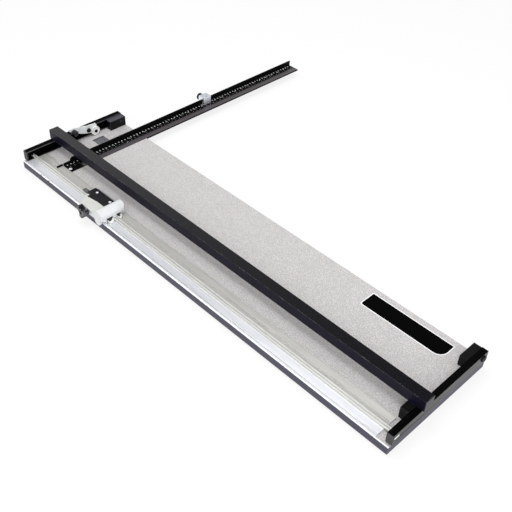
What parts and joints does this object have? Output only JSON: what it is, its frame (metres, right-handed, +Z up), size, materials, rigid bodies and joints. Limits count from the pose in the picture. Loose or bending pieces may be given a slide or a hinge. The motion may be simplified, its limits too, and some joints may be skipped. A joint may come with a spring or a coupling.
{
  "type": "paper trimmer",
  "caption": "Long-bed paper trimmer: a cutting head slides on a guide rail in a hinged lift frame over a laminate board, with a squaring arm and sliding stop.",
  "frame": {"origin": "bottom of the middle foot, under the middle of the board, on the surface that it stands on", "axes": "+X along the guide rail to the right, +Y away from the person who cuts, +Z up"},
  "size_m": [1.1966, 0.9058, 0.0771],
  "materials": {
    "board_chipboard": "raw chipboard, seen only in the groove and from below",
    "edge_band_navy": "dark navy-grey plastic band, fine matt grain",
    "laminate_grey": "pale grey speckled laminate",
    "foot_rubber": "moulded black rubber",
    "label_black": "bare black vinyl with a pale border",
    "label_grey": "bare grey vinyl",
    "arm_black": "black anodised extrusion",
    "screw_zinc": "bright zinc-plated screws",
    "block_black": "black moulded blocks",
    "bolt_black": "black oxide steel",
    "channel_black": "black powder coat on the channels",
    "cap_grey": "charcoal plastic caps",
    "bar_black": "black powder coat, satin",
    "rail_aluminium": "clear anodised, extrusion lines along its length",
    "lever_white": "light grey enamel on a flat plate",
    "grip_black": "knurled black plastic",
    "roller_white": "white acetal",
    "head_white": "white enamel on a casting",
    "glide_black": "black acetal",
    "holder_black": "charcoal powder coat",
    "clamp_steel": "brushed steel",
    "blade_steel": "ground steel",
    "tab_grey": "grey plastic",
    "knob_black": "black moulded plastic, satin",
    "pad_white": "white nylon",
    "stop_silver": "cast and tumbled, satin"
  },
  "bodies": {
    "base": {"board_core": "board_chipboard", "edge_band": "edge_band_navy", "laminate": "laminate_grey", "feet": "foot_rubber", "large_label": "label_black", "small_label": "label_grey", "squaring_arm": "arm_black", "arm_screws": "screw_zinc", "left_hinge_block": "block_black", "right_hinge_block": "block_black", "rest_block": "block_black", "block_screws": "screw_zinc", "hinge_bolts": "bolt_black", "hinge_spacers": "clamp_steel"},
    "lift_frame": {"left_channel": "channel_black", "right_channel": "channel_black", "channel_caps": "cap_grey", "slot_plugs": "pad_white", "cross_bar": "bar_black", "bar_caps": "cap_grey", "bar_screws": "screw_zinc", "guide_rail": "rail_aluminium", "rail_screws": "screw_zinc", "lever_bolt": "bolt_black", "lever_spacer": "clamp_steel"},
    "lever": {"lift_lever": "lever_white", "lever_grip": "grip_black", "roller_bolt": "bolt_black"},
    "roller_disc": {"roller": "roller_white"},
    "cutting_head": {"head_casting": "head_white", "glides": "glide_black", "glide_pads": "pad_white", "hinge_pin": "clamp_steel"},
    "blade_unit": {"blade_holder": "holder_black", "blade_clamp": "clamp_steel", "blade": "blade_steel", "holder_screws": "screw_zinc", "thumb_tab": "tab_grey"},
    "head_knob_unit": {"head_knob": "knob_black", "head_stud": "screw_zinc"},
    "stop": {"stop_block": "stop_silver"},
    "stop_knob_unit": {"stop_knob": "knob_black", "stop_stud": "screw_zinc"}
  },
  "joints": [
    {"name": "frame_lift", "type": "hinge", "parent": "base", "child": "lift_frame", "pos_m": [0, 0.136, 0.0395], "axis": [-1, 0, 0], "range_deg": [0, 7]},
    {"name": "lever_turn", "type": "hinge", "parent": "lift_frame", "child": "lever", "pos_m": [-0.578, 0.041, 0.0435], "axis": [-1, 0, 0], "range_deg": [0, 31.5]},
    {"name": "roller_spin", "type": "hinge", "parent": "lever", "child": "roller_disc", "pos_m": [-0.5735, 0.06, 0.0363], "axis": [1, 0, 0], "continuous": true},
    {"name": "head_slide", "type": "slide", "parent": "lift_frame", "child": "cutting_head", "axis": [1, 0, 0], "range_m": [-0.195, 0.8]},
    {"name": "blade_tilt", "type": "hinge", "parent": "cutting_head", "child": "blade_unit", "pos_m": [-0.304, -0.12, 0.0357], "axis": [1, 0, 0], "range_deg": [0, 40]},
    {"name": "head_knob_turn", "type": "hinge", "parent": "cutting_head", "child": "head_knob_unit", "pos_m": [-0.305, -0.165, 0.0345], "axis": [0, 1, 0], "continuous": true},
    {"name": "stop_slide", "type": "slide", "parent": "base", "child": "stop", "axis": [0, 1, 0], "range_m": [-0.41, 0.325]},
    {"name": "stop_knob_turn", "type": "hinge", "parent": "stop", "child": "stop_knob_unit", "pos_m": [-0.526, 0.3885, 0.0345], "axis": [1, 0, 0], "continuous": true}
  ],
  "couplings": [
    {"joint": "lever_turn", "follows": "frame_lift", "ratio": 4.5}
  ]
}
